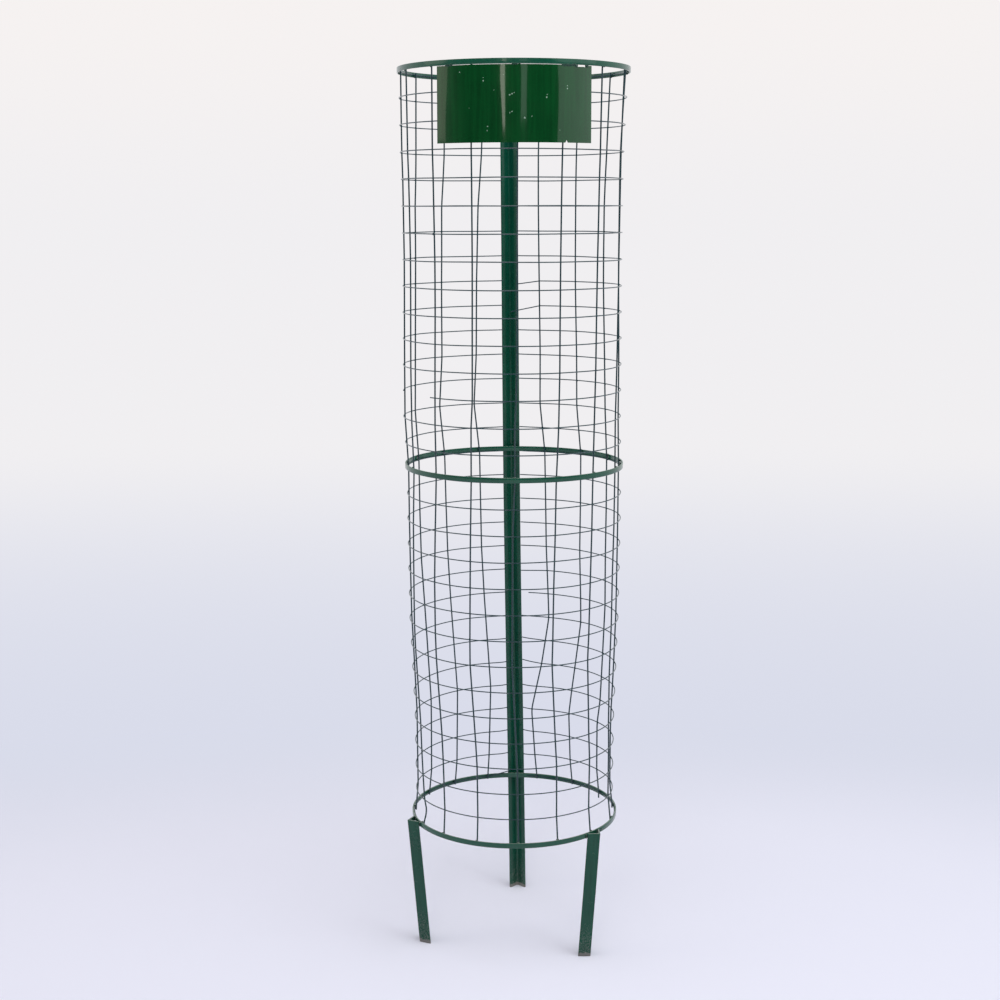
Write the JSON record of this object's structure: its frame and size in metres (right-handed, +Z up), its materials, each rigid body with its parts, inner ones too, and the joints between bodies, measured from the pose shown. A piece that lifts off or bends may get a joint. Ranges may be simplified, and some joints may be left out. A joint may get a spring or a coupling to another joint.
{
  "type": "welded wire tree guard",
  "caption": "Tall round tree guard of welded wire mesh with flat-bar hoops, an angle post, short angle legs and a blank curved name plate.",
  "frame": {"origin": "middle of the bounding box at ground level, under the three feet", "axes": "+Z up along the guard; the name plate faces -Y and the full-height post is at +Y"},
  "size_m": [0.446, 0.466, 1.7362],
  "materials": {
    "hoop_paint": "glossy dark green enamel on flat bar, paler with dust and sky light at the sides",
    "wire_paint": "glossy dark green enamel on drawn wire, with small runs and beads of paint at the crossings",
    "angle_paint": "semi-gloss dark green enamel on rolled angle, worn grey and dusty at the feet",
    "plate_paint": "high-gloss deep green enamel on sheet, with small chips and specks",
    "weld_paint": "glossy dark green enamel over lumpy weld metal"
  },
  "bodies": {
    "root": {"top_hoop": "hoop_paint", "middle_hoop": "hoop_paint", "bottom_hoop": "hoop_paint", "ring_wire_01": "wire_paint", "ring_wire_02": "wire_paint", "ring_wire_03": "wire_paint", "ring_wire_04": "wire_paint", "ring_wire_05": "wire_paint", "ring_wire_06": "wire_paint", "ring_wire_07": "wire_paint", "ring_wire_08": "wire_paint", "ring_wire_09": "wire_paint", "ring_wire_10": "wire_paint", "ring_wire_11": "wire_paint", "ring_wire_12": "wire_paint", "ring_wire_13_stub": "wire_paint", "ring_wire_13_long": "wire_paint", "ring_wire_14": "wire_paint", "ring_wire_15": "wire_paint", "ring_wire_16": "wire_paint", "ring_wire_17": "wire_paint", "ring_wire_18": "wire_paint", "ring_wire_19": "wire_paint", "ring_wire_20": "wire_paint", "ring_wire_21": "wire_paint", "ring_wire_22": "wire_paint", "ring_wire_23": "wire_paint", "ring_wire_24": "wire_paint", "ring_wire_25": "wire_paint", "ring_wire_26": "wire_paint", "ring_wire_27": "wire_paint", "ring_wire_28": "wire_paint", "ring_wire_29": "wire_paint", "ring_wire_30": "wire_paint", "upright_wire_01": "wire_paint", "upright_wire_02": "wire_paint", "upright_wire_03": "wire_paint", "upright_wire_04": "wire_paint", "upright_wire_05": "wire_paint", "upright_wire_06": "wire_paint", "upright_wire_07": "wire_paint", "upright_wire_08": "wire_paint", "upright_wire_09": "wire_paint", "upright_wire_10": "wire_paint", "upright_wire_11": "wire_paint", "upright_wire_12": "wire_paint", "upright_wire_13": "wire_paint", "upright_wire_14": "wire_paint", "upright_wire_15": "wire_paint", "rear_post": "angle_paint", "left_leg": "angle_paint", "right_leg": "angle_paint", "name_plate": "plate_paint", "post_weld_top": "weld_paint", "post_weld_middle": "weld_paint", "post_weld_bottom": "weld_paint", "left_leg_weld": "weld_paint", "right_leg_weld": "weld_paint", "plate_tack_left": "weld_paint", "plate_tack_right": "weld_paint"}
  },
  "joints": []
}
